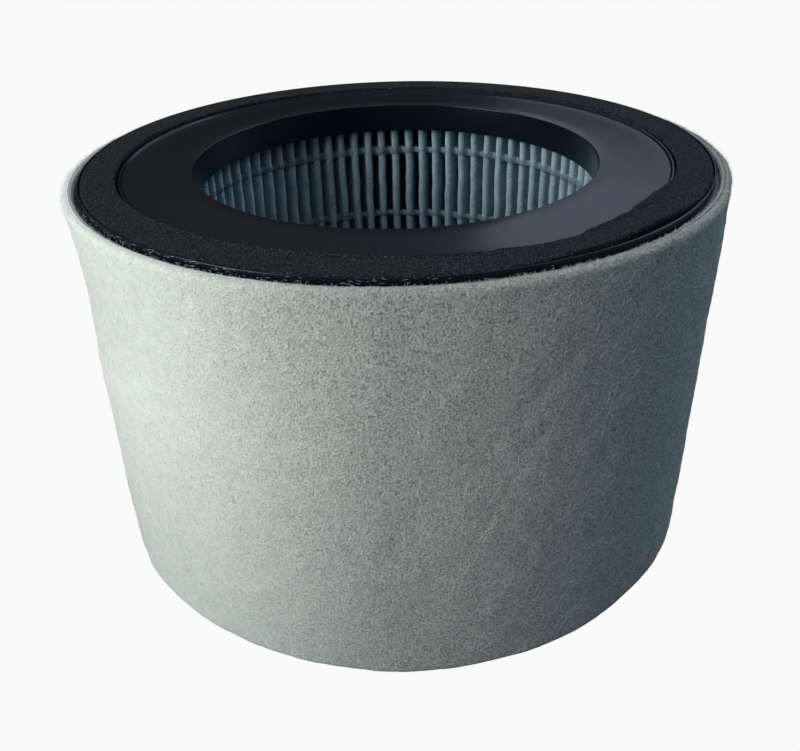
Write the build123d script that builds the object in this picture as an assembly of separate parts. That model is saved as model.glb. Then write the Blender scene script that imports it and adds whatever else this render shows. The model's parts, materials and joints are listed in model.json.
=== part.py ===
from build123d import *
import math
import os

# Cylinder filter for a room air purifier
# It stands upright. The origin is the middle of its foot, +Z is up, sizes are in millimetres.
# Air passes in through the felt and the pleated paper, and leaves through the hole in an end cap.

# Whole filter: its height from the foot to the top cap's lip, and the caps' width from hole to rim
height = 120.0
cap_r = 94.4
cap_ring_width = 33.4

# Walls of both moulded end caps
wall = 1.6
collar_depth = 9.4
skirt_depth = 10.0
hole_bevel = 0.8

# Seat of the foam ring on the top cap, between a rib and a lip with a sloped shoulder
lip_width = 1.6
lip_crest_width = 0.9
lip_height = 1.4
shoulder_drop = 1.2
rib_width = 1.5
rib_height = 0.6

# Foam ring
foam_width = 9.6
foam_thickness = 1.5
foam_side_gap = 0.3

# Pleated paper
pleat_count = 80
paper_thickness = 0.8
inner_fold_r = 1.25
outer_fold_r = 1.9
fold_to_collar = 1.4
fold_to_skirt = 0.6

# Glue beads across the inner folds
bead_spacing = 25.1
bead_height = 2.2
bead_depth = 0.9
bead_gap = 0.05
first_bead_drop = 18.0
pleats_per_bead_run = 2

# Felt wrap
felt_thickness = 3.0
felt_set_back = 0.9
felt_gap = 0.1
felt_seam_gap = 1.0

# Facets across one fold of the paper, by how well the fold shows
seen_fold_facets = 3
hidden_fold_facets = 1

# Places that follow from the sizes
hole_r = cap_r - cap_ring_width
plate_top_z = height - lip_height
pack_foot_z = wall
pack_top_z = plate_top_z - wall
collar_outer_r = hole_r + wall
skirt_inner_r = cap_r - wall
lip_inner_r = cap_r - lip_width
foam_outer_r = lip_inner_r - foam_side_gap
foam_inner_r = foam_outer_r - foam_width
rib_outer_r = foam_inner_r - foam_side_gap
pack_inner_r = collar_outer_r + fold_to_collar
pack_outer_r = skirt_inner_r - fold_to_skirt


def revolved(section):
    """One solid ring from the corners of its section, each as radius and height."""
    with BuildPart() as ring:
        with BuildSketch(Plane.XZ):
            with BuildLine():
                Polyline(*section, close=True)
            make_face()
        revolve(axis=Axis.Z)
    return ring.part


def channel_section(face_z, inwards):
    """Corners of a cap's inside: skirt, channel and collar, seen from the plate's outer face."""
    skirt_end_z = face_z + inwards * skirt_depth
    collar_end_z = face_z + inwards * collar_depth
    floor_z = face_z + inwards * wall
    return [
        (cap_r, skirt_end_z),
        (skirt_inner_r, skirt_end_z),
        (skirt_inner_r, floor_z),
        (collar_outer_r, floor_z),
        (collar_outer_r, collar_end_z),
        (hole_r, collar_end_z),
    ]


def top_end_cap():
    """Moulded ring with a bevelled hole, and the rib and lip that hold the foam between them."""
    face = [
        (hole_r, plate_top_z - hole_bevel),
        (hole_r + hole_bevel, plate_top_z),
        (rib_outer_r - rib_width, plate_top_z),
        (rib_outer_r - rib_width / 2, plate_top_z + rib_height),
        (rib_outer_r, plate_top_z),
        (lip_inner_r, plate_top_z),
        (lip_inner_r, height),
        (lip_inner_r + lip_crest_width, height),
        (cap_r, height - shoulder_drop),
    ]
    return revolved(face + channel_section(plate_top_z, -1))


def bottom_end_cap():
    """Moulded ring with a plain flat face, on which the filter stands."""
    face = [(hole_r, 0), (cap_r, 0)]
    return revolved(face + channel_section(0, 1))


def top_foam_seal():
    """Flat foam ring, die-cut from sheet, between rib and lip."""
    low_z, high_z = plate_top_z, plate_top_z + foam_thickness
    return revolved([(foam_inner_r, low_z), (foam_inner_r, high_z), (foam_outer_r, high_z), (foam_outer_r, low_z)])


def fold(azimuth, centre_r, fold_r, outwards, facets):
    """Corners of one paper fold, which bulges away from the axis or towards it."""
    corners = []
    for step in range(facets + 1):
        turn = math.pi * step / facets
        across = -fold_r * math.cos(turn)
        radial = centre_r + outwards * fold_r * math.sin(turn)
        x = radial * math.cos(azimuth) - across * math.sin(azimuth)
        y = radial * math.sin(azimuth) + across * math.cos(azimuth)
        corners.append((x, y))
    return corners


def pleated_media():
    """One strip of paper, folded to and fro all round and closed to a ring."""
    tip_reach = inner_fold_r * math.cos(math.pi / (2 * seen_fold_facets))
    inner_centre_r = pack_inner_r + tip_reach
    inner_groove_r = inner_fold_r - paper_thickness
    outer_groove_r = outer_fold_r - paper_thickness
    pitch = 2 * math.pi / pleat_count
    axis_side = []
    felt_side = []
    for pleat in range(pleat_count):
        inner_fold = pleat * pitch
        outer_fold = inner_fold + pitch / 2
        axis_side += fold(inner_fold, inner_centre_r, inner_fold_r, -1, seen_fold_facets)
        axis_side += fold(outer_fold, pack_outer_r - paper_thickness, outer_groove_r, 1, hidden_fold_facets)
        felt_side += fold(inner_fold, pack_inner_r + paper_thickness, inner_groove_r, -1, hidden_fold_facets)
        felt_side += fold(outer_fold, pack_outer_r, outer_fold_r, 1, hidden_fold_facets)
    outer_edge = Wire.make_polygon(felt_side, close=True)
    inner_edge = Wire.make_polygon(axis_side, close=True)
    strip = Pos(0, 0, pack_foot_z) * Face(outer_edge, [inner_edge])
    return extrude(strip, amount=pack_top_z - pack_foot_z)


def glue_bead(centre_z):
    """Strand of glue from fold to fold, flat on the folds and ridged towards the axis."""
    outer_r = pack_inner_r - bead_gap
    runs = pleat_count // pleats_per_bead_run
    centre = Pos(0, 0, centre_z)
    strand = extrude(centre * RegularPolygon(outer_r, runs), amount=bead_height / 2, both=True)
    for side in (-1, 1):
        mouth = Pos(0, 0, centre_z + side * bead_height / 2) * RegularPolygon(outer_r, runs)
        waist = centre * RegularPolygon(outer_r - bead_depth, runs)
        strand -= loft([waist.face(), mouth.face()])
    return strand


def felt_wrap():
    """Strip of felt round both skirts, with the narrow gap of its butt seam at the back."""
    inner_r = cap_r + felt_gap
    outer_r = inner_r + felt_thickness
    low_z = felt_set_back
    high_z = height - felt_set_back
    tube = revolved([(inner_r, low_z), (outer_r, low_z), (outer_r, high_z), (inner_r, high_z)])
    seam_y = (inner_r + outer_r) / 2
    seam = Pos(0, seam_y, height / 2) * Box(felt_seam_gap, 3 * felt_thickness, height)
    return tube - seam


# Every piece in its place, with as many beads as the pack's height holds
pieces = {
    "top_end_cap": top_end_cap(),
    "bottom_end_cap": bottom_end_cap(),
    "top_foam_seal": top_foam_seal(),
    "pleated_media": pleated_media(),
    "felt_wrap": felt_wrap(),
}
first_bead_z = plate_top_z - first_bead_drop
bead_room = first_bead_z - bead_height - pack_foot_z
for bead in range(int(bead_room / bead_spacing) + 1):
    pieces[f"inner_glue_bead_{bead + 1}"] = glue_bead(first_bead_z - bead * bead_spacing)

os.makedirs("parts", exist_ok=True)
for node, solid in pieces.items():
    export_step(solid, f"parts/{node}.step")
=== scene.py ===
import json
import math

import bmesh
import bpy
import numpy as np
from mathutils import Matrix, Vector


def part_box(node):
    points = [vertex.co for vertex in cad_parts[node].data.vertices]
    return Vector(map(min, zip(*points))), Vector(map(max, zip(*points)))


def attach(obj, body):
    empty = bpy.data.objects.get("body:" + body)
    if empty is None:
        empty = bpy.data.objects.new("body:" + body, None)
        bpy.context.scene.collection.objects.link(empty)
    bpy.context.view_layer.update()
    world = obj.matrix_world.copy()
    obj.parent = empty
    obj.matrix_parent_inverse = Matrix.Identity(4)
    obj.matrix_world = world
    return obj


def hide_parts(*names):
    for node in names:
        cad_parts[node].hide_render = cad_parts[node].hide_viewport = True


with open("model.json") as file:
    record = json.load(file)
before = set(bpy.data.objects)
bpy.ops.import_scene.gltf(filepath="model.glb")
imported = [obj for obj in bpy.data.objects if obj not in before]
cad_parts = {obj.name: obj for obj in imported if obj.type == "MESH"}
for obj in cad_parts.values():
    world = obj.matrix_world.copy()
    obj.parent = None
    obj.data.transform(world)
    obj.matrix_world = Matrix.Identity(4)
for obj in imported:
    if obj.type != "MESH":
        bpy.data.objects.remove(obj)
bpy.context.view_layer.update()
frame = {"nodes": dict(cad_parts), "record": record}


# Bottom end cap
# A ring moulded in black ABS: a flat face, a collar round the air hole and a skirt round the rim.
# The filter stands on it, and the paper pack is glued into the channel between collar and skirt.

def box_mm(node):
    """Lowest and highest corner of a solid, in millimetres."""
    return [corner * 1000 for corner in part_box(node)]


def rounded_outline(corners, arc_points=6):
    """Closed section with round corners. A corner is radius, height, fillet and the longest step after it."""
    arcs = []
    for index, (r, z, fillet, step) in enumerate(corners):
        corner = Vector((r, z))
        back = (Vector(corners[index - 1][:2]) - corner).normalized()
        ahead = (Vector(corners[(index + 1) % len(corners)][:2]) - corner).normalized()
        half = back.angle(ahead) / 2
        start = corner + back * fillet / math.tan(half)
        end = corner + ahead * fillet / math.tan(half)
        centre = corner + (back + ahead).normalized() * fillet / math.sin(half)
        chords = [start.lerp(end, point / (arc_points - 1)) - centre for point in range(arc_points)]
        arcs.append([centre + chord.normalized() * fillet for chord in chords])
    outline = []
    for index, arc in enumerate(arcs):
        run_end = arcs[(index + 1) % len(arcs)][0]
        pieces = max(1, math.ceil((run_end - arc[-1]).length / corners[index][3]))
        outline += arc + [arc[-1].lerp(run_end, piece / pieces) for piece in range(1, pieces)]
    return np.array(outline)


def round_the_axis(azimuth, radius, height):
    """Points in millimetres from azimuth, radius and height. Azimuth 0 is the front, 90 degrees the right."""
    azimuth, radius, height = np.broadcast_arrays(azimuth, radius, height)
    return np.stack([radius * np.sin(azimuth), -radius * np.cos(azimuth), height], -1)


def full_circle(count):
    """Evenly spaced azimuths, one to a row."""
    return np.linspace(0, 2 * math.pi, count, endpoint=False)[:, None]


def piece_from(name, points, faces, finish):
    """A smooth closed mesh from points in millimetres, with its normals outwards."""
    mesh = bpy.data.meshes.new(name)
    mesh.from_pydata((points / 1000).tolist(), [], faces)
    tidy = bmesh.new()
    tidy.from_mesh(mesh)
    bmesh.ops.recalc_face_normals(tidy, faces=tidy.faces)
    tidy.to_mesh(mesh)
    tidy.free()
    mesh.shade_smooth()
    mesh.materials.append(finish)
    piece = bpy.data.objects.new(name, mesh)
    bpy.context.scene.collection.objects.link(piece)
    return piece


def ring_piece(name, points, finish, closed=True):
    """A ring from closed sections placed one after the other. An open ring gets a face at each end."""
    sections, corners = points.shape[:2]
    here = np.arange(sections if closed else sections - 1)[:, None]
    corner = np.arange(corners)[None, :]
    after, following = (here + 1) % sections, (corner + 1) % corners
    quads = np.stack([
        here * corners + corner,
        after * corners + corner,
        after * corners + following,
        here * corners + following,
    ], -1).reshape(-1, 4).tolist()
    ends = [] if closed else [list(range(corners)), list(range((sections - 1) * corners, sections * corners))]
    return piece_from(name, points.reshape(-1, 3), quads + ends, finish)


def linear(hex_colour):
    """An sRGB hex colour as the linear values that a shader takes."""
    shares = [int(hex_colour[place:place + 2], 16) / 255 for place in (1, 3, 5)]
    return [s / 12.92 if s <= 0.04045 else ((s + 0.055) / 1.055) ** 2.4 for s in shares] + [1.0]


def new_finish(name):
    """An empty material with its shader, and the place on the object that the patterns follow."""
    finish = bpy.data.materials.new(name)
    finish.use_nodes = True
    tree = finish.node_tree
    return finish, tree, tree.nodes["Principled BSDF"], add(tree, "ShaderNodeTexCoord").outputs["Object"]


def add(tree, kind, settings=None, links=None):
    """Adds a node, sets its own properties and its sockets, and links sockets to other nodes."""
    made = tree.nodes.new(kind)
    for name, value in (settings or {}).items():
        if isinstance(name, int) or name in made.inputs:
            made.inputs[name].default_value = value
        else:
            setattr(made, name, value)
    for name, source in (links or {}).items():
        tree.links.new(source, made.inputs[name])
    return made


def per_metre(size_mm):
    """The scale of a pattern whose features are this many millimetres across."""
    return 1000 / size_mm


cap_low, cap_high = box_mm("bottom_end_cap")
mounts = {mount["name"]: mount for mount in frame["record"]["mounts"]}
cap_r = cap_high.x
hole_r = mounts["bottom_hole"]["dims"]["r_mm"]
cap_wall = 1.6
edge_round = 0.35
broad_step = 6.0

# Moulded ABS with a spark-eroded grain: near black, with a wide sheen at low angles and faint handling marks.
# The real grain is 0.1 mm, and is drawn at 0.45 mm so that it shows. The IOR of smooth ABS is 1.54, and is
# lowered to the weak reflections of the grained plate in the photograph.
abs_black = "#0B1219"
abs_grain_mm = 0.45
abs_patch_mm = 14.0
abs_plastic, tree, shader, place = new_finish("moulded_abs_fine_grain")
grain = add(tree, "ShaderNodeTexNoise", {"Scale": per_metre(abs_grain_mm), "Detail": 3.0}, {"Vector": place})
patches = add(tree, "ShaderNodeTexNoise", {"Scale": per_metre(abs_patch_mm), "Detail": 4.0},
              {"Vector": place})
gloss = add(tree, "ShaderNodeMapRange", {"From Min": 0.3, "From Max": 0.7, "To Min": 0.17, "To Max": 0.21},
            {"Value": patches.outputs["Fac"]})
relief = add(tree, "ShaderNodeBump", {"Strength": 0.25, "Distance": 0.00005},
             {"Height": grain.outputs["Fac"]})
tree.links.new(gloss.outputs["Result"], shader.inputs["Roughness"])
tree.links.new(relief.outputs["Normal"], shader.inputs["Normal"])
shader.inputs["Base Color"].default_value = linear(abs_black)
shader.inputs["IOR"].default_value = 1.36

collar_end_z = mounts["bottom_hole"]["dims"]["length_mm"]
section = rounded_outline([
    (hole_r, collar_end_z, edge_round, broad_step),
    (hole_r, cap_low.z, edge_round, broad_step),
    (cap_r, cap_low.z, edge_round, broad_step),
    (cap_r, cap_high.z, edge_round, broad_step),
    (cap_r - cap_wall, cap_high.z, edge_round, broad_step),
    (cap_r - cap_wall, cap_low.z + cap_wall, edge_round, broad_step),
    (hole_r + cap_wall, cap_low.z + cap_wall, edge_round, broad_step),
    (hole_r + cap_wall, collar_end_z, edge_round, broad_step),
], arc_points=4)
bottom_cap = ring_piece(
    "bottom_cap_moulding", round_the_axis(full_circle(240), section[:, 0], section[:, 1]), abs_plastic)
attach(bottom_cap, "root")
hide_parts("bottom_end_cap")


# Pleated filter paper
# One long strip of blue-grey synthetic paper, folded to and fro and closed to a ring of pleats.
# Its ends stand in the channels of the two caps, and its folds wander a little between the glue beads.

def field(across, up, cell, seed, girth):
    """Smooth random values from -1 to 1, one to a cell, that meet again after one girth."""
    columns, rows = max(3, round(girth / cell)), math.ceil(200 / cell)
    grid = np.random.default_rng(seed).uniform(-1, 1, (columns, rows))
    u, v = across / girth * columns, up / cell
    column, row = np.floor(u).astype(int), np.floor(v).astype(int)
    s, t = u - column, v - row
    s, t = s * s * (3 - 2 * s), t * t * (3 - 2 * t)
    next_column, next_row = (column + 1) % columns, (row + 1) % rows
    column, row = column % columns, row % rows
    low = grid[column, row] * (1 - s) + grid[next_column, row] * s
    high = grid[column, next_row] * (1 - s) + grid[next_column, next_row] * s
    return low * (1 - t) + high * t


def fold_points(centre_r, fold_r, outwards, count):
    """Half circle of a fold as radial and sideways distances, from one flank to the other."""
    turn = np.linspace(0, math.pi, count)
    return centre_r + outwards * fold_r * np.sin(turn), -fold_r * np.cos(turn)


pack_low, pack_high = box_mm("pleated_media")
bead_names = sorted(node for node in frame["nodes"] if node.startswith("inner_glue_bead"))
bead_heights = [sum(corner.z for corner in box_mm(name)) / 2 for name in bead_names]
pleat_count = 80
paper_thickness = 0.8
inner_fold_r, outer_fold_r = 1.25, 1.9
fold_tip_r = box_mm(bead_names[0])[1].x
pack_r = pack_high.x
fold_spacing = 5.0
fold_wander, fold_wander_cell = 0.3, 16.0
fold_ripple, fold_ripple_cell = 0.2, 3.2
fold_depth_spread = 0.3
hidden_fold_share = 0.2
bead_hold, free_run = 0.25, 6.0
points_on_fold = 8
seen_from_z = 64
hidden_rows, seen_rows = 14, 36

# Synthetic filter paper: a dry, matt felt of very fine fibres, with soft cloudy patches along the strip.
paper_light, paper_dark, paper_speck = "#93ACB9", "#7B96A5", "#B9CDD6"
paper_cloud_mm = 5.0
paper_fibre_mm = 0.5
paper_speck_mm = 0.7
paper, tree, shader, place = new_finish("pleated_synthetic_paper")
clouds = add(tree, "ShaderNodeTexNoise", {"Scale": per_metre(paper_cloud_mm), "Detail": 5.0},
             {"Vector": place})
fibres = add(tree, "ShaderNodeTexNoise", {"Scale": per_metre(paper_fibre_mm), "Detail": 3.0},
             {"Vector": place})
share = add(tree, "ShaderNodeMapRange", {"From Min": 0.3, "From Max": 0.7}, {"Value": clouds.outputs["Fac"]})
tint = add(tree, "ShaderNodeMix", {"data_type": "RGBA", 6: linear(paper_dark), 7: linear(paper_light)},
           {0: share.outputs["Result"]})
specks = add(tree, "ShaderNodeTexNoise", {"Scale": per_metre(paper_speck_mm), "Detail": 2.0},
             {"Vector": place})
speck_share = add(tree, "ShaderNodeMapRange", {"From Min": 0.56, "From Max": 0.7, "To Max": 0.7},
                  {"Value": specks.outputs["Fac"]})
speckled = add(tree, "ShaderNodeMix", {"data_type": "RGBA", 7: linear(paper_speck)},
               {0: speck_share.outputs["Result"], 6: tint.outputs[2]})
relief = add(tree, "ShaderNodeBump", {"Strength": 0.5, "Distance": 0.0001}, {"Height": fibres.outputs["Fac"]})
tree.links.new(speckled.outputs[2], shader.inputs["Base Color"])
tree.links.new(relief.outputs["Normal"], shader.inputs["Normal"])
shader.inputs["Roughness"].default_value = 0.9
shader.inputs["Specular IOR Level"].default_value = 0.25
shader.inputs["Subsurface Weight"].default_value = 0.7
shader.inputs["Subsurface Scale"].default_value = 0.004
shader.inputs["Subsurface Radius"].default_value = (1.0, 1.0, 1.0)

pitch = 2 * math.pi / pleat_count
inner_centre_r, outer_centre_r = fold_tip_r + inner_fold_r, pack_r - outer_fold_r
inner_r, inner_across = fold_points(inner_centre_r, inner_fold_r, -1, points_on_fold)
outer_r, outer_across = fold_points(outer_centre_r, outer_fold_r - paper_thickness, 1, points_on_fold)
back_r, back_across = fold_points(inner_centre_r, inner_fold_r - paper_thickness, -1, points_on_fold)
rim_r, rim_across = fold_points(outer_centre_r, outer_fold_r, 1, points_on_fold)
near_r, near_across = np.concatenate([inner_r, outer_r]), np.concatenate([inner_across, outer_across])
far_r, far_across = np.concatenate([back_r, rim_r]), np.concatenate([back_across, rim_across])
is_inner = np.arange(2 * points_on_fold) < points_on_fold
low_rows = np.linspace(pack_low.z, seen_from_z, hidden_rows)[:-1]
rows_up = np.concatenate([low_rows, np.linspace(seen_from_z, pack_high.z, seen_rows)])
back_rows = rows_up[::-3]
pleats = np.arange(pleat_count)[:, None, None] * np.ones((1, 2 * points_on_fold, 1))
paper_girth = pleat_count * fold_spacing
along = pleats * fold_spacing
fold_azimuth = (pleats + np.where(is_inner, 0, 0.5)[None, :, None]) * pitch
inner_share = np.where(is_inner, 1.0, hidden_fold_share)[None, :, None]
deeper = field(along, along * 0 + 2.0, fold_spacing, 4, paper_girth) * fold_depth_spread * inner_share
sides = []
for radial, across, heights in ((near_r, near_across, rows_up), (far_r, far_across, back_rows)):
    up = heights[None, None, :]
    from_bead = np.min([abs(heights - height) for height in bead_heights], axis=0)
    freedom = np.clip(from_bead / free_run, bead_hold, 1)
    wander = field(along, up, fold_wander_cell, 3, paper_girth) * fold_wander * freedom * inner_share
    ripple = field(along, up, fold_ripple_cell, 5, paper_girth) * fold_ripple * freedom * inner_share
    sideways = across[None, :, None] + wander + (ripple if heights is rows_up else 0)
    inwards = radial[None, :, None] + deeper
    around = fold_azimuth + np.arctan2(sideways, inwards)
    sides.append(round_the_axis(around, np.hypot(sideways, inwards), up))
pleat_points = np.concatenate(sides, axis=2).reshape(pleat_count * 2 * points_on_fold, -1, 3)
pleat_ring = ring_piece("pleated_paper_ring", pleat_points, paper)
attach(pleat_ring, "root")
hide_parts("pleated_media")


# Glue beads
# Strands of set hot glue, run round the inner folds while soft to hold the pleats at an even pitch.
# Each sinks back into the gap between two folds, and its height and thickness vary a little along its run.

bead_proud = 0.1
bead_sag = 1.8
bead_half_height, bead_half_depth = 1.25, 0.45
bead_waver, bead_waver_cell = 0.2, 9.0
bead_swell, bead_swell_cell = 0.25, 4.0
taller_in_gap = 0.1
gap_shape = 1.4
stations_per_pleat = 12

# Set hot-melt glue: milky, dull and tinted by the paper that it soaked into; its colour is also darkened as
# painted shade for the gaps between the folds.
glue_shaded_tint = "#617886"
glue_ripple_mm = 1.2
glue, tree, shader, place = new_finish("set_hot_melt_glue")
ripples = add(tree, "ShaderNodeTexNoise", {"Scale": per_metre(glue_ripple_mm), "Detail": 2.0},
              {"Vector": place})
relief = add(tree, "ShaderNodeBump", {"Strength": 0.4, "Distance": 0.0002},
             {"Height": ripples.outputs["Fac"]})
tree.links.new(relief.outputs["Normal"], shader.inputs["Normal"])
shader.inputs["Base Color"].default_value = linear(glue_shaded_tint)
shader.inputs["Roughness"].default_value = 0.6
shader.inputs["IOR"].default_value = 1.48

stations = full_circle(pleat_count * stations_per_pleat)
section_turn = np.linspace(0, 2 * math.pi, 8, endpoint=False)[None, :]
in_gap = (0.5 - 0.5 * np.cos(stations * pleat_count)) ** gap_shape
girth = 2 * math.pi * fold_tip_r
along = stations * fold_tip_r
centre_r = fold_tip_r + bead_half_depth - bead_proud + in_gap * bead_sag
for number, (name, bead_z) in enumerate(zip(bead_names, bead_heights)):
    centre_z = bead_z + bead_waver * field(along, along * 0, bead_waver_cell, 20 + number, girth)
    swell = 1 + bead_swell * field(along, along * 0, bead_swell_cell, 30 + number, girth)
    half_height = bead_half_height * swell * (1.0 + taller_in_gap * in_gap)
    radius = centre_r + bead_half_depth * np.cos(section_turn)
    height = centre_z + half_height * np.sin(section_turn)
    strand_name = name.replace("inner_glue_bead", "glue_strand")
    strand = ring_piece(strand_name, round_the_axis(stations, radius, height), glue)
    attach(strand, "root")
    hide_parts(name)


# Top end cap
# The same black ABS as the bottom ring. A low rib and the raised lip at the rim fence in the foam.
# The lip's crest is narrower and its shoulder deeper than on the solid, so that it shows as a thin
# bright line with a black gap outside, as in the photograph.

top_low, top_high = box_mm("top_end_cap")
foam_low, foam_high = box_mm("top_foam_seal")
plate_z = foam_low.z
top_collar_end_z = plate_z - collar_end_z
foam_gap = 0.3
foam_width = 9.6
hole_edge_round = 0.3
lip_width, lip_crest_width, shoulder_drop, shoulder_slope = 1.6, 0.42, 2.4, 0.12
rib_width, rib_height, rib_slope, rib_round = 1.5, 0.6, 0.5, 0.25
rib_outer_r = foam_high.x - foam_width - foam_gap
rib_top_z = plate_z + rib_height
lip_inner_r = cap_r - lip_width
section = rounded_outline([
    (hole_r, top_collar_end_z, edge_round, broad_step),
    (hole_r, plate_z, hole_edge_round, broad_step),
    (rib_outer_r - rib_width, plate_z, rib_round, 1),
    (rib_outer_r - rib_width + rib_slope, rib_top_z, rib_round, 1),
    (rib_outer_r - rib_slope, rib_top_z, rib_round, 1),
    (rib_outer_r, plate_z, rib_round, broad_step),
    (lip_inner_r, plate_z, edge_round / 2, 1),
    (lip_inner_r, top_high.z, edge_round / 2, 1),
    (lip_inner_r + lip_crest_width, top_high.z, edge_round / 2, 1),
    (lip_inner_r + lip_crest_width + shoulder_slope, top_high.z - shoulder_drop, edge_round / 3, 1),
    (cap_r, top_high.z - shoulder_drop, edge_round / 2, broad_step),
    (cap_r, top_low.z, edge_round, broad_step),
    (cap_r - cap_wall, top_low.z, edge_round, broad_step),
    (cap_r - cap_wall, plate_z - cap_wall, edge_round, broad_step),
    (hole_r + cap_wall, plate_z - cap_wall, edge_round, broad_step),
    (hole_r + cap_wall, top_collar_end_z, edge_round, broad_step),
])
top_cap = ring_piece(
    "top_cap_moulding", round_the_axis(full_circle(360), section[:, 0], section[:, 1]), abs_plastic)
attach(top_cap, "root")
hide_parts("top_end_cap")


# Foam seal
# A thin ring die-cut from black open-cell polyether foam and laid on by hand between rib and lip.
# In front its inner edge rides over the rib, and at the right front the whole ring is pushed inwards.

def outline_normals(outline):
    """Unit directions away from a closed outline, point by point."""
    along = np.roll(outline, -1, 0) - np.roll(outline, 1, 0)
    away = np.stack([along[:, 1], -along[:, 0]], -1)
    area = np.sum(outline[:, 0] * np.roll(outline[:, 1], -1) - np.roll(outline[:, 0], -1) * outline[:, 1])
    return away / np.linalg.norm(away, axis=1, keepdims=True) * np.sign(area)


def hump(azimuth, middle_deg, half_width_deg):
    """A smooth rise from 0 to 1 and back, round one azimuth."""
    away = (np.degrees(azimuth) - middle_deg + 180) % 360 - 180
    return np.exp(-(away / half_width_deg) ** 2)


def humps(azimuth, rises):
    """Sum of humps, each given as its height in millimetres, its azimuth and its half width in degrees."""
    return sum(rise * hump(azimuth, middle_deg, half_deg) for rise, middle_deg, half_deg in rises)


foam_inner_r = rib_outer_r + foam_gap
foam_cell, foam_pit = 0.9, 0.09
foam_dent_cell, foam_dent = 3.0, 0.08
foam_step = 0.4
rib_lift, rib_lift_start, rib_lift_run, squeezed_on_rib = 0.7, 0.5, 1.3, 0.2

# How far the ring was laid inwards, as humps: its inner edge over the rib, its outer edge off the lip.
laid_over_rib = ((1.95, -16, 26), (0.5, -46, 14), (2.6, 52, 12))
laid_inwards = ((2.6, 43, 11), (1.5, 27, 7))
ragged, ragged_cell = ((0.5, 40, 24),), 4.5

# Open-cell foam: charcoal and dull, with painted glints: bright pin-points of lighter colour where cell walls
# catch the light.
# The pattern is 0.4 to 0.6 mm wide, a pixel or two of the photograph. The real cells may be finer.
foam_black, foam_glint_grey = "#05090C", "#52636C"
foam_hollow_mm, foam_speck_mm = 0.6, 0.42
foam, tree, shader, place = new_finish("open_cell_polyether_foam")
cells = add(tree, "ShaderNodeTexVoronoi", {"Scale": per_metre(foam_hollow_mm)}, {"Vector": place})
specks = add(tree, "ShaderNodeTexNoise", {"Scale": per_metre(foam_speck_mm), "Detail": 3.0, "Roughness": 0.7},
             {"Vector": place})
bright = add(tree, "ShaderNodeMapRange", {"From Min": 0.55, "From Max": 0.66},
             {"Value": specks.outputs["Fac"]})
tint = add(tree, "ShaderNodeMix", {"data_type": "RGBA", 6: linear(foam_black), 7: linear(foam_glint_grey)},
           {0: bright.outputs["Result"]})
depth = add(tree, "ShaderNodeMath", {"operation": "ADD"},
            {0: cells.outputs["Distance"], 1: specks.outputs["Fac"]})
relief = add(tree, "ShaderNodeBump", {"Strength": 0.8, "Distance": 0.0003},
             {"Height": depth.outputs["Value"]})
tree.links.new(tint.outputs[2], shader.inputs["Base Color"])
tree.links.new(relief.outputs["Normal"], shader.inputs["Normal"])
shader.inputs["Roughness"].default_value = 0.95
shader.inputs["Specular IOR Level"].default_value = 0.3

section = rounded_outline([
    (foam_inner_r, foam_low.z, 0.2, foam_step),
    (foam_inner_r, foam_high.z, 0.8, foam_step),
    (foam_high.x, foam_high.z, 0.6, foam_step),
    (foam_high.x, foam_low.z, 0.2, 1.0),
])
azimuth = full_circle(1000)
away = outline_normals(section)
girth = 2 * math.pi * foam_high.x
across = azimuth * foam_high.x
over_rib = humps(azimuth, laid_over_rib)
over_rib += humps(azimuth, ragged) * field(across, azimuth * 0, ragged_cell, 43, girth)
pushed_in = humps(azimuth, laid_inwards)
share_out = np.clip((section[:, 0] - foam_inner_r) / foam_width, 0, 1)[None, :]
spread = section[:, 0] - over_rib * (1 - share_out) - pushed_in * share_out
near_rib = np.clip((foam_inner_r + rib_lift_start - spread) / rib_lift_run, 0, 1)
lift = rib_lift * near_rib ** 2 * (3 - 2 * near_rib)
up_the_side = np.clip((section[:, 1] - foam_low.z) / (foam_high.z - foam_low.z), 0, 1)[None, :]
over = np.cumsum(np.linalg.norm(np.diff(section, axis=0, prepend=section[:1]), axis=1))[None, :]
pits = foam_pit * field(across, over, foam_cell, 41, girth)
dents = foam_dent * field(across, over, foam_dent_cell, 42, girth)
pitted = (pits + dents) * up_the_side
radius = spread + pitted * away[:, 0]
height = section[:, 1] + lift * (1 - squeezed_on_rib * up_the_side) + pitted * away[:, 1]
foam_ring = ring_piece("foam_seal_ring", round_the_axis(azimuth, radius, height), foam)
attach(foam_ring, "root")
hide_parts("top_foam_seal")


# Felt wrap
# A strip of thick needled polyester felt, wrapped tight round both skirts and butted at the back.
# It catches coarse dust before the paper. The top of its left side stands a little away from the rim.

felt_low, felt_high = box_mm("felt_wrap")
felt_r = felt_high.x
felt_inner_r = cap_r + 0.1
felt_seam_gap = 1.0
felt_step = 1.0

# The felt's forms. An unevenness is its height and its cell in millimetres and the seed of its pattern.
# The leans, the waist, the belly and the drop at the back are humps.
felt_unevenness = ((0.3, 24.0, 51), (0.15, 7.0, 52), (0.07, 3.0, 53), (0.04, 2.0, 54))
rim_leans = ((1.3, -84, 36), (0.3, 88, 30), (-1.0, -132, 24))
rim_lean_depth = 14.0
waist, waist_middle_z, waist_half_height = ((1.5, -84, 38),), 93, 17
belly, belly_low_z, belly_rise = ((0.6, 85, 40),), 25, 25
back_drop, back_drop_low_z, back_drop_rise = ((0.9, 180, 70),), 100, 15
foot_sag, foot_sag_below_z, foot_sag_run = 0.55, 7, 6
fray, fray_cell = 0.25, 1.6
pressed_in = 0.2
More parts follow.
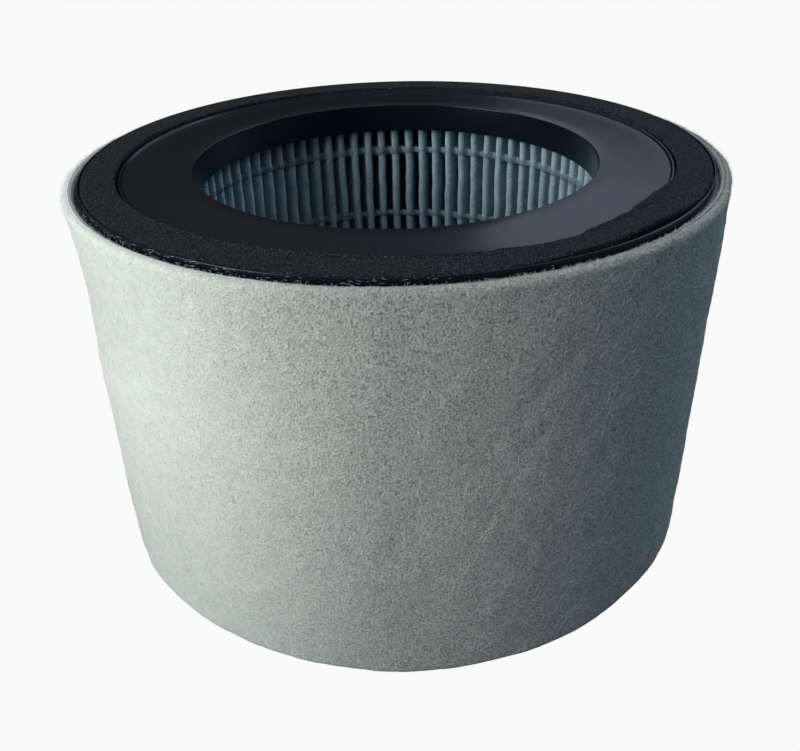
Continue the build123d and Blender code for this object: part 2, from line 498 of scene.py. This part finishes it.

# Needled polyester felt: pale grey-green and dull, a fine mat of crossing fibres, with painted shade
# darkening its small pits and pores.
# Single fibres are 0.03 mm thick, and the pattern's streaks are drawn 0.3 mm wide so that they show.
felt_light, felt_mid, felt_pit_shade, felt_fibre = "#CEDBD0", "#C6D2C4", "#69776F", "#EDF4EA"
# The blue-grey next is painted shade: it darkens the felt's inner top rim beside the lip, where less light
# falls.
felt_rim_shade = "#B7C1C2"
felt_patch_mm, felt_grain_mm, felt_pit_mm, felt_pore_mm = 3.0, 0.7, 1.3, 0.64
fibre_length_mm, fibre_width_mm = 1.9, 0.3
fibre_swirl_mm, fibre_warp_mm = 4.0, 9.0
fibre_headings_deg = (8, 52, 98, 143)
rim_shade_starts_r, rim_shade_ends_r = felt_inner_r + 0.5, felt_inner_r + 2.7
window_side_deg, least_texture = -62, 0.08
felt, tree, shader, place = new_finish("needled_polyester_felt")
spot = add(tree, "ShaderNodeSeparateXYZ", {}, {0: place})
towards = add(tree, "ShaderNodeMath", {"operation": "MULTIPLY", 1: -1.0}, {0: spot.outputs["Y"]})
turn = add(tree, "ShaderNodeMath", {"operation": "ARCTAN2"},
           {0: spot.outputs["X"], 1: towards.outputs["Value"]})
along = add(tree, "ShaderNodeMath", {"operation": "MULTIPLY", 1: felt_r / 1000}, {0: turn.outputs["Value"]})
flat_spot = add(tree, "ShaderNodeCombineXYZ", {}, {0: spot.outputs["X"], 1: spot.outputs["Y"]})
from_axis = add(tree, "ShaderNodeVectorMath", {"operation": "LENGTH"}, {0: flat_spot.outputs["Vector"]})
unrolled_spot = add(tree, "ShaderNodeCombineXYZ", {},
                    {0: along.outputs["Value"], 1: spot.outputs["Z"], 2: from_axis.outputs["Value"]})
unrolled = unrolled_spot.outputs["Vector"]
swirl = add(tree, "ShaderNodeTexNoise", {"Scale": per_metre(fibre_swirl_mm), "Detail": 1.0},
            {"Vector": unrolled})
centred = add(tree, "ShaderNodeVectorMath", {"operation": "SUBTRACT", 1: (0.5, 0.5, 0.5)},
              {0: swirl.outputs["Color"]})
shift = add(tree, "ShaderNodeVectorMath", {"operation": "SCALE", "Scale": fibre_warp_mm / 1000},
            {0: centred.outputs["Vector"]})
warped = add(tree, "ShaderNodeVectorMath", {"operation": "ADD"}, {0: unrolled, 1: shift.outputs["Vector"]})
lines = None
for heading_deg in fibre_headings_deg:
    lane = add(tree, "ShaderNodeMapping",
               {"vector_type": "TEXTURE", "Rotation": (0, 0, math.radians(heading_deg)),
                "Location": (heading_deg / 1000, 0, 0),
                "Scale": (fibre_length_mm / 1000, fibre_width_mm / 1000, fibre_width_mm / 1000)},
               {"Vector": warped.outputs["Vector"]})
    streaks = add(tree, "ShaderNodeTexNoise", {"Scale": 1.0, "Detail": 1.0},
                  {"Vector": lane.outputs["Vector"]})
    line = add(tree, "ShaderNodeMapRange", {"From Min": 0.52, "From Max": 0.72},
               {"Value": streaks.outputs["Fac"]}).outputs["Result"]
    lines = line if lines is None else add(
        tree, "ShaderNodeMath", {"operation": "MAXIMUM"}, {0: lines, 1: line}).outputs["Value"]
patches = add(tree, "ShaderNodeTexNoise", {"Scale": per_metre(felt_patch_mm), "Detail": 3.0},
              {"Vector": unrolled})
grain = add(tree, "ShaderNodeTexNoise", {"Scale": per_metre(felt_grain_mm), "Detail": 4.0, "Roughness": 0.75},
            {"Vector": unrolled})
pits = add(tree, "ShaderNodeTexNoise", {"Scale": per_metre(felt_pit_mm), "Detail": 1.5}, {"Vector": unrolled})
share = add(tree, "ShaderNodeMapRange", {"From Min": 0.35, "From Max": 0.65},
            {"Value": patches.outputs["Fac"]})
# The side that faces the window lamp shows hardly any texture, so the painted pit and pore shade and the
# relief fade round one azimuth: painted light, which keeps that side lighter and smoother.
# The fade belongs to that window light and not to felt, and it stays in its place under any other light.
from_window = add(tree, "ShaderNodeMath", {"operation": "ADD", 1: math.radians(-window_side_deg)},
                  {0: turn.outputs["Value"]})
facing = add(tree, "ShaderNodeMath", {"operation": "COSINE"}, {0: from_window.outputs["Value"]})
painted_window_light_fade = add(tree, "ShaderNodeMapRange",
                       {"From Min": 0.5, "From Max": 0.97, "To Min": 1.0, "To Max": least_texture},
                       {"Value": facing.outputs["Value"]})
# Painted shade: the pits and pores below are darkened towards a dark grey-green, for the shade that falls
# inside them.
pit_relief_and_shade = add(tree, "ShaderNodeMapRange", {"From Min": 0.62, "From Max": 0.7},
                {"Value": pits.outputs["Fac"], "To Max": painted_window_light_fade.outputs["Result"]})
tint = add(tree, "ShaderNodeMix", {"data_type": "RGBA", 6: linear(felt_mid), 7: linear(felt_light)},
           {0: share.outputs["Result"]})
pit_shaded_tint = add(tree, "ShaderNodeMix", {"data_type": "RGBA", 7: linear(felt_pit_shade)},
                  {0: pit_relief_and_shade.outputs["Result"], 6: tint.outputs[2]})
pores = add(tree, "ShaderNodeTexNoise", {"Scale": per_metre(felt_pore_mm), "Detail": 3.0, "Roughness": 0.7},
            {"Vector": unrolled})
pore_shade_depth = add(tree, "ShaderNodeMapRange",
                 {"From Min": 0.41, "From Max": 0.58, "To Min": 1.0, "To Max": 0.0},
                 {"Value": pores.outputs["Fac"]})
pore_shade_share = add(tree, "ShaderNodeMath", {"operation": "MULTIPLY"},
                 {0: pore_shade_depth.outputs["Result"], 1: painted_window_light_fade.outputs["Result"]})
pore_shaded_tint = add(tree, "ShaderNodeMix", {"data_type": "RGBA", 7: linear(felt_pit_shade)},
                  {0: pore_shade_share.outputs["Value"], 6: pit_shaded_tint.outputs[2]})
line_share = add(tree, "ShaderNodeMath", {"operation": "MULTIPLY", 1: 0.8}, {0: lines})
felt_tint = add(tree, "ShaderNodeMix", {"data_type": "RGBA", 7: linear(felt_fibre)},
                {0: line_share.outputs["Value"], 6: pore_shaded_tint.outputs[2]})
# Painted shade on the inner top rim of the felt, fading out over 2.2 mm from its inner edge.
rim_shade_share = add(tree, "ShaderNodeMapRange",
                  {"From Min": rim_shade_starts_r / 1000, "From Max": rim_shade_ends_r / 1000,
                   "To Min": 1.0, "To Max": 0.0},
                  {"Value": from_axis.outputs["Value"]})
rim_shaded_tint = add(tree, "ShaderNodeMix", {"data_type": "RGBA", 7: linear(felt_rim_shade)},
                {0: rim_shade_share.outputs["Result"], 6: felt_tint.outputs[2]})
height = add(tree, "ShaderNodeMath", {"operation": "MULTIPLY", 1: 0.08}, {0: lines}).outputs["Value"]
for pattern, share_of_height in ((grain, 3.1), (patches, 2.0)):
    height = add(tree, "ShaderNodeMath", {"operation": "MULTIPLY_ADD", 1: share_of_height},
                 {0: pattern.outputs["Fac"], 2: height}).outputs["Value"]
sunk = add(tree, "ShaderNodeMath", {"operation": "MULTIPLY_ADD", 1: -0.4},
           {0: pit_relief_and_shade.outputs["Result"], 2: height})
relief = add(tree, "ShaderNodeBump", {"Distance": 0.0005},
             {"Strength": painted_window_light_fade.outputs["Result"], "Height": sunk.outputs["Value"]})
tree.links.new(rim_shaded_tint.outputs[2], shader.inputs["Base Color"])
tree.links.new(relief.outputs["Normal"], shader.inputs["Normal"])
shader.inputs["Roughness"].default_value = 0.95
shader.inputs["Specular IOR Level"].default_value = 0.2
shader.inputs["Sheen Weight"].default_value = 0.2
shader.inputs["Sheen Roughness"].default_value = 0.5

felt_girth = 2 * math.pi * felt_r


def felt_relief(azimuth, height):
    """How far the felt's outer face stands off its true cylinder, in millimetres."""
    across = azimuth * felt_r
    uneven = sum(rise * field(across, height, cell, seed, felt_girth) for rise, cell, seed in felt_unevenness)
    towards_top = np.clip((height - felt_high.z + rim_lean_depth) / rim_lean_depth, 0, 1) ** 2
    rim = towards_top * humps(azimuth, rim_leans)
    bulge = humps(azimuth, belly) * np.clip((height - belly_low_z) / belly_rise, 0, 1)
    hug = humps(azimuth, waist) * np.exp(-((height - waist_middle_z) / waist_half_height) ** 2)
    return uneven + rim + bulge - hug - pressed_in


section = rounded_outline([
    (felt_inner_r, felt_low.z, 0.8, felt_step),
    (felt_r, felt_low.z, 1.8, felt_step),
    (felt_r, felt_high.z, 2.0, felt_step),
    (felt_inner_r, felt_high.z, 1.1, 15.0),
])
away = outline_normals(section)
seam_half_turn = felt_seam_gap / 2 / felt_r
azimuth = np.linspace(
    math.pi + seam_half_turn, 3 * math.pi - seam_half_turn, round(felt_girth / felt_step))[:, None]
outside = np.clip((section[:, 0] - felt_inner_r) / (felt_r - felt_inner_r), 0, 1)[None, :]
stand_off = felt_relief(azimuth, section[:, 1][None, :])
radius = section[:, 0] + stand_off * outside
frayed = fray * away[:, 1] * field(azimuth * felt_r, radius, fray_cell, 55, felt_girth) * outside
lower_back = humps(azimuth, back_drop) * np.clip((section[:, 1] - back_drop_low_z) / back_drop_rise, 0, 1)
sagging = foot_sag * np.clip((foot_sag_below_z - section[:, 1]) / foot_sag_run, 0, 1)
height = section[:, 1] + frayed - lower_back - sagging
felt_strip = ring_piece("felt_wrap_strip", round_the_axis(azimuth, radius, height), felt, closed=False)
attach(felt_strip, "root")
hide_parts("felt_wrap")


# Loose fibres of the felt
# Needling leaves curly ends and loops of polyester fibre on both faces and along the cut edges.
# Those on the face lie flat and sink back into the felt, those at the edges stand out as fuzz.

def strands(name, paths, thickness, finish):
    """Many fine closed fibres. A path's first and last points are its tips, the others carry its body."""
    count, stations = paths.shape[:2]
    body = paths[:, 1:-1]
    along = paths[:, 2:] - paths[:, :-2]
    along /= np.linalg.norm(along, axis=2, keepdims=True)
    outward = body * [1, 1, 0]
    outward /= np.linalg.norm(outward, axis=2, keepdims=True)
    sideways = np.cross(along, outward)
    sideways /= np.maximum(np.linalg.norm(sideways, axis=2, keepdims=True), 1e-6)
    upright = np.cross(sideways, along)
    turns = [math.pi / 2 + 2 * math.pi * third / 3 for third in range(3)]
    half = thickness[:, None, None] / 2
    rings = np.stack([body + half * (math.cos(a) * sideways + math.sin(a) * upright) for a in turns], 2)
    points = np.concatenate([paths[:, :1], rings.reshape(count, -1, 3), paths[:, -1:]], 1)
    last = 3 * (stations - 2) + 1
    faces = []
    for side in range(3):
        beside = (side + 1) % 3
        faces.append((0, 1 + beside, 1 + side))
        faces.append((last, last - 3 + side, last - 3 + beside))
        for ring in range(stations - 3):
            a, b = 1 + 3 * ring + side, 1 + 3 * ring + beside
            faces += [(a, b, b + 3), (a, b + 3, a + 3)]
    starts = np.arange(count)[:, None, None] * (last + 1)
    faces = (np.array(faces)[None] + starts).reshape(-1, 3).tolist()
    return piece_from(name, points.reshape(-1, 3), faces, finish)


# Single polyester fibres: pale and translucent, so they look lighter than the mat behind them.
# Their meshes are 0.03 to 0.08 mm thick, the finest near the real thickness.
fibre_dull, fibre_bright = "#DBE3E1", "#F3F7F5"
fibre_shade_mm = 3.0
fibre, tree, shader, place = new_finish("polyester_fibre")
thread = add(tree, "ShaderNodeTexNoise", {"Scale": per_metre(fibre_shade_mm), "Detail": 2.0},
             {"Vector": place})
tint = add(tree, "ShaderNodeMix", {"data_type": "RGBA", 6: linear(fibre_dull), 7: linear(fibre_bright)},
           {0: thread.outputs["Fac"]})
tree.links.new(tint.outputs[2], shader.inputs["Base Color"])
shader.inputs["Roughness"].default_value = 0.6
shader.inputs["Sheen Weight"].default_value = 0.2

face_fibres = 9700
face_fibre_length, face_fibre_lift, root_depth = (1.8, 5.5), (0.06, 0.15), 0.05
face_fibre_bend, face_fibre_twist = 0.4, 0.2
seam_margin, edge_margin = 0.02, 2
clear_of_floor = 0.15
rng = np.random.default_rng(61)
span = np.linspace(-1, 1, 5)[None, :]
middle_azimuth = rng.uniform(math.pi + seam_margin, 3 * math.pi - seam_margin, (face_fibres, 1))
middle_z = rng.uniform(felt_low.z + edge_margin, felt_high.z - edge_margin, (face_fibres, 1))
length = rng.uniform(*face_fibre_length, (face_fibres, 1))
heading = rng.uniform(0, math.pi, (face_fibres, 1))
bend = rng.normal(0, face_fibre_bend, (face_fibres, 1))
twist = rng.normal(0, face_fibre_twist, (face_fibres, 1))
lift = rng.uniform(*face_fibre_lift, (face_fibres, 1))
forward = span * length / 2
aside = (bend * span ** 2 + twist * span ** 3) * length / 2
azimuth = middle_azimuth + (forward * np.cos(heading) - aside * np.sin(heading)) / felt_r
height = np.maximum(middle_z + forward * np.sin(heading) + aside * np.cos(heading), clear_of_floor)
radius = felt_r + felt_relief(azimuth, height) - root_depth + lift * (1 - span ** 2)
face_fuzz = strands("felt_face_fibres", round_the_axis(azimuth, radius, height),
                    rng.uniform(0.04, 0.08, face_fibres), fibre)
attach(face_fuzz, "root")

edge_fibres = 10000
share_at_top = 0.8
edge_inset = 1.35
edge_fibre_length, edge_fibre_reach = (0.4, 1.0), 0.7
span = np.linspace(0, 1, 5)[None, :]
at_top = rng.uniform(0, 1, (edge_fibres, 1)) < share_at_top
root_azimuth = rng.uniform(math.pi + 0.01, 3 * math.pi - 0.01, (edge_fibres, 1))
root_turn = rng.uniform(-0.1, 1.1, (edge_fibres, 1)) * math.pi
root_r = (felt_inner_r + felt_r) / 2 + np.cos(root_turn) * (felt_r - felt_inner_r - 0.4) / 2
rise = np.sin(root_turn) * 1.2
root_z = np.where(at_top, felt_high.z - edge_inset + rise, felt_low.z + edge_inset - rise)
length = rng.uniform(*edge_fibre_length, (edge_fibres, 1)) * (1 + 0.4 * (root_turn > 1.7))
tilt = root_turn + rng.normal(0, 0.5, (edge_fibres, 1))
sidelong = rng.normal(0, 0.8, (edge_fibres, 1))
curl = rng.normal(0, 0.5, (edge_fibres, 1)) * span ** 2
out = length * (span * np.cos(tilt) + curl * np.sin(tilt)) * edge_fibre_reach
up = length * (span * np.sin(tilt) - curl * np.cos(tilt)) * edge_fibre_reach
azimuth = root_azimuth + sidelong * length * (span + curl) / felt_r * edge_fibre_reach
stand_off = felt_relief(azimuth, np.broadcast_to(root_z, azimuth.shape)) * (root_r > felt_inner_r + 1.5)
radius = root_r + stand_off + out
height = root_z + np.where(at_top, up - humps(azimuth, back_drop), -up)
height = np.maximum(height, clear_of_floor)
edge_fuzz = strands("felt_edge_fibres", round_the_axis(azimuth, radius, height),
                    rng.uniform(0.03, 0.055, edge_fibres), fibre)
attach(edge_fuzz, "root")


# Lint on the rim
# Whitish fibre ends from the felt cling along the cap's lip, most of them at the left front.
# They are scattered at random there, and not placed hair by hair.

lint_count = 150
lint_middle_deg, lint_spread_deg = -38, 24
lint_inner_r, lint_outer_r = lip_inner_r + 0.6, cap_r + 0.5
lint_length = (0.3, 1.7)
lint_fall = 0.7
span = np.linspace(-1, 1, 5)[None, :]
middle_azimuth = np.radians(rng.normal(lint_middle_deg, lint_spread_deg, (lint_count, 1)))
middle_r = rng.uniform(lint_inner_r, lint_outer_r, (lint_count, 1))
length = rng.uniform(*lint_length, (lint_count, 1))
heading = rng.normal(0, 0.2, (lint_count, 1))
bend = rng.normal(0, 0.15, (lint_count, 1))
azimuth = middle_azimuth + span * length / 2 * np.cos(heading) / cap_r
radius = middle_r + length / 2 * (span * np.sin(heading) + bend * span ** 2)
crest_end_r = lip_inner_r + lip_crest_width
past_the_crest = np.clip((radius - crest_end_r) / (cap_r - crest_end_r), 0, 1)
height = top_high.z + 0.05 - lint_fall * past_the_crest + rng.uniform(0, 0.15, (lint_count, 1))
rim_lint = strands("lip_lint", round_the_axis(azimuth, radius, height),
                   rng.uniform(0.03, 0.05, lint_count), fibre)
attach(rim_lint, "root")


# Floor, daylight and camera
# The filter stands on a blue table, which tints the foot of the felt as in the photograph. The camera sees
# the table as white, apart from the filter's shadow. A large soft window lights it from the left.

floor_colour = "#2A527C"
floor_white_share = 0.95
bpy.ops.mesh.primitive_plane_add(size=40)
floor = bpy.context.object
floor.name = "floor"
floor_finish, tree, shader, place = new_finish("blue_matt_table")
shader.inputs["Base Color"].default_value = linear(floor_colour)
shader.inputs["Roughness"].default_value = 0.9
seen = add(tree, "ShaderNodeLightPath").outputs["Is Camera Ray"]
seen_share = add(tree, "ShaderNodeMath", {"operation": "MULTIPLY", 1: floor_white_share}, {0: seen})
white = add(tree, "ShaderNodeEmission", {"Color": (1, 1, 1, 1), "Strength": 1.0})
both = add(tree, "ShaderNodeMixShader", {},
           {0: seen_share.outputs["Value"], 1: shader.outputs["BSDF"], 2: white.outputs["Emission"]})
tree.links.new(both.outputs["Shader"], tree.nodes["Material Output"].inputs["Surface"])
floor.data.materials.append(floor_finish)

# A low dark card between window and filter keeps part of the light off the felt's foot.
card_colour = "#10141A"
card_height, card_half_width, card_distance = 0.07, 0.45, 0.35
card_azimuth_deg = -60
window_turn = math.radians(card_azimuth_deg)
card_middle = Vector((math.sin(window_turn), -math.cos(window_turn), 0)) * card_distance
card_along = Vector((math.cos(window_turn), math.sin(window_turn), 0)) * card_half_width
card_up = Vector((0, 0, card_height))
card_foot = [card_middle - card_along, card_middle + card_along]
card_mesh = bpy.data.meshes.new("shade_card")
card_mesh.from_pydata(card_foot + [corner + card_up for corner in reversed(card_foot)], [], [(0, 1, 2, 3)])
card_finish, tree, shader, place = new_finish("dark_card")
shader.inputs["Base Color"].default_value = linear(card_colour)
card_mesh.materials.append(card_finish)
card = bpy.data.objects.new("shade_card", card_mesh)
bpy.context.scene.collection.objects.link(card)
card.visible_camera = False

# The room gives little light low down and more from overhead. The camera sees it as plain white.
room_grey, sky_grey = "#DDD8DF", "#CFD8E2"
world = bpy.data.worlds.new("pale_room")
world.use_nodes = True
bpy.context.scene.world = world
tree = world.node_tree
sky = tree.nodes["Background"]
ray_way = add(tree, "ShaderNodeTexCoord").outputs["Generated"]
rise = add(tree, "ShaderNodeSeparateXYZ", {}, {0: ray_way}).outputs["Z"]
glow = add(tree, "ShaderNodeMapRange", {"From Min": 0.24, "From Max": 0.40, "To Min": 0.02, "To Max": 0.2},
           {"Value": rise})
overhead = add(tree, "ShaderNodeMapRange", {"From Min": 0.5, "From Max": 0.9, "To Min": 0.0, "To Max": 0.3},
               {"Value": rise})
total = add(tree, "ShaderNodeMath", {"operation": "ADD"},
            {0: glow.outputs["Result"], 1: overhead.outputs["Result"]})
height_share = add(tree, "ShaderNodeMapRange", {"From Min": 0.35, "From Max": 0.65}, {"Value": rise})
sky_tint = add(tree, "ShaderNodeMix", {"data_type": "RGBA", 6: linear(room_grey), 7: linear(sky_grey)},
               {0: height_share.outputs["Result"]})
tree.links.new(total.outputs["Value"], sky.inputs["Strength"])
tree.links.new(sky_tint.outputs[2], sky.inputs["Color"])
backdrop = add(tree, "ShaderNodeBackground", {"Color": (1, 1, 1, 1), "Strength": 1.0})
rays = add(tree, "ShaderNodeLightPath")
seen = add(tree, "ShaderNodeMath", {"operation": "MAXIMUM"},
           {0: rays.outputs["Is Camera Ray"], 1: rays.outputs["Is Transmission Ray"]})
both = add(tree, "ShaderNodeMixShader", {},
           {0: seen.outputs["Value"], 1: sky.outputs["Background"], 2: backdrop.outputs["Background"]})
tree.links.new(both.outputs["Shader"], tree.nodes["World Output"].inputs["Surface"])


def soft_lamp(name, place_m, target_m, width_m, height_m, watts, colour):
    """A soft box that faces its target."""
    lamp = bpy.data.lights.new(name, "AREA")
    lamp.shape = "RECTANGLE"
    lamp.size, lamp.size_y = width_m, height_m
    lamp.energy, lamp.color = watts, linear(colour)[:3]
    holder = bpy.data.objects.new(name, lamp)
    holder.location = place_m
    holder.rotation_mode = "QUATERNION"
    holder.rotation_quaternion = (Vector(target_m) - Vector(place_m)).to_track_quat("-Z", "Y")
    bpy.context.scene.collection.objects.link(holder)


soft_lamp("window_left", (-1.165, -0.714, 0.58), (0, 0, 0.06), 0.9, 1.15, 25.0, "#FCFAF7")
soft_lamp("sky_right_back", (0.666, 1.046, 0.86), (0, 0, 0.12), 1.25, 0.7, 2.35, "#C8DBF5")
soft_lamp("sky_right", (0.95, 0.35, 0.75), (0, 0, 0.12), 0.6, 0.6, 4.6, "#BED8EC")
soft_lamp("room_front", (0.0, -1.0, 0.85), (0, 0, 0.12), 0.7, 0.7, 0.7, "#EDE9E6")

# The camera stands where the photograph was taken from, solved from the rings of the cap.
camera_elevation, camera_roll = math.radians(31.18), math.radians(-1.56)
camera_place_mm = Vector((-0.48, -260.50, 197.07))
camera_lens_mm = 38.71
across = Vector((1, 0, 0))
upwards = Vector((0, math.sin(camera_elevation), math.cos(camera_elevation)))
back = Vector((0, -math.cos(camera_elevation), math.sin(camera_elevation)))
right = across * math.cos(camera_roll) + upwards * math.sin(camera_roll)
top = upwards * math.cos(camera_roll) - across * math.sin(camera_roll)
camera_data = bpy.data.cameras.new("camera")
camera_data.lens = camera_lens_mm
camera_data.sensor_width = 36.0
camera_data.clip_start = 0.01
camera = bpy.data.objects.new("camera", camera_data)
axes = Matrix((right, top, back)).transposed().to_4x4()
camera.matrix_world = Matrix.Translation(camera_place_mm / 1000) @ axes
bpy.context.scene.collection.objects.link(camera)
bpy.context.scene.camera = camera
bpy.context.scene.view_settings.view_transform = "Standard"
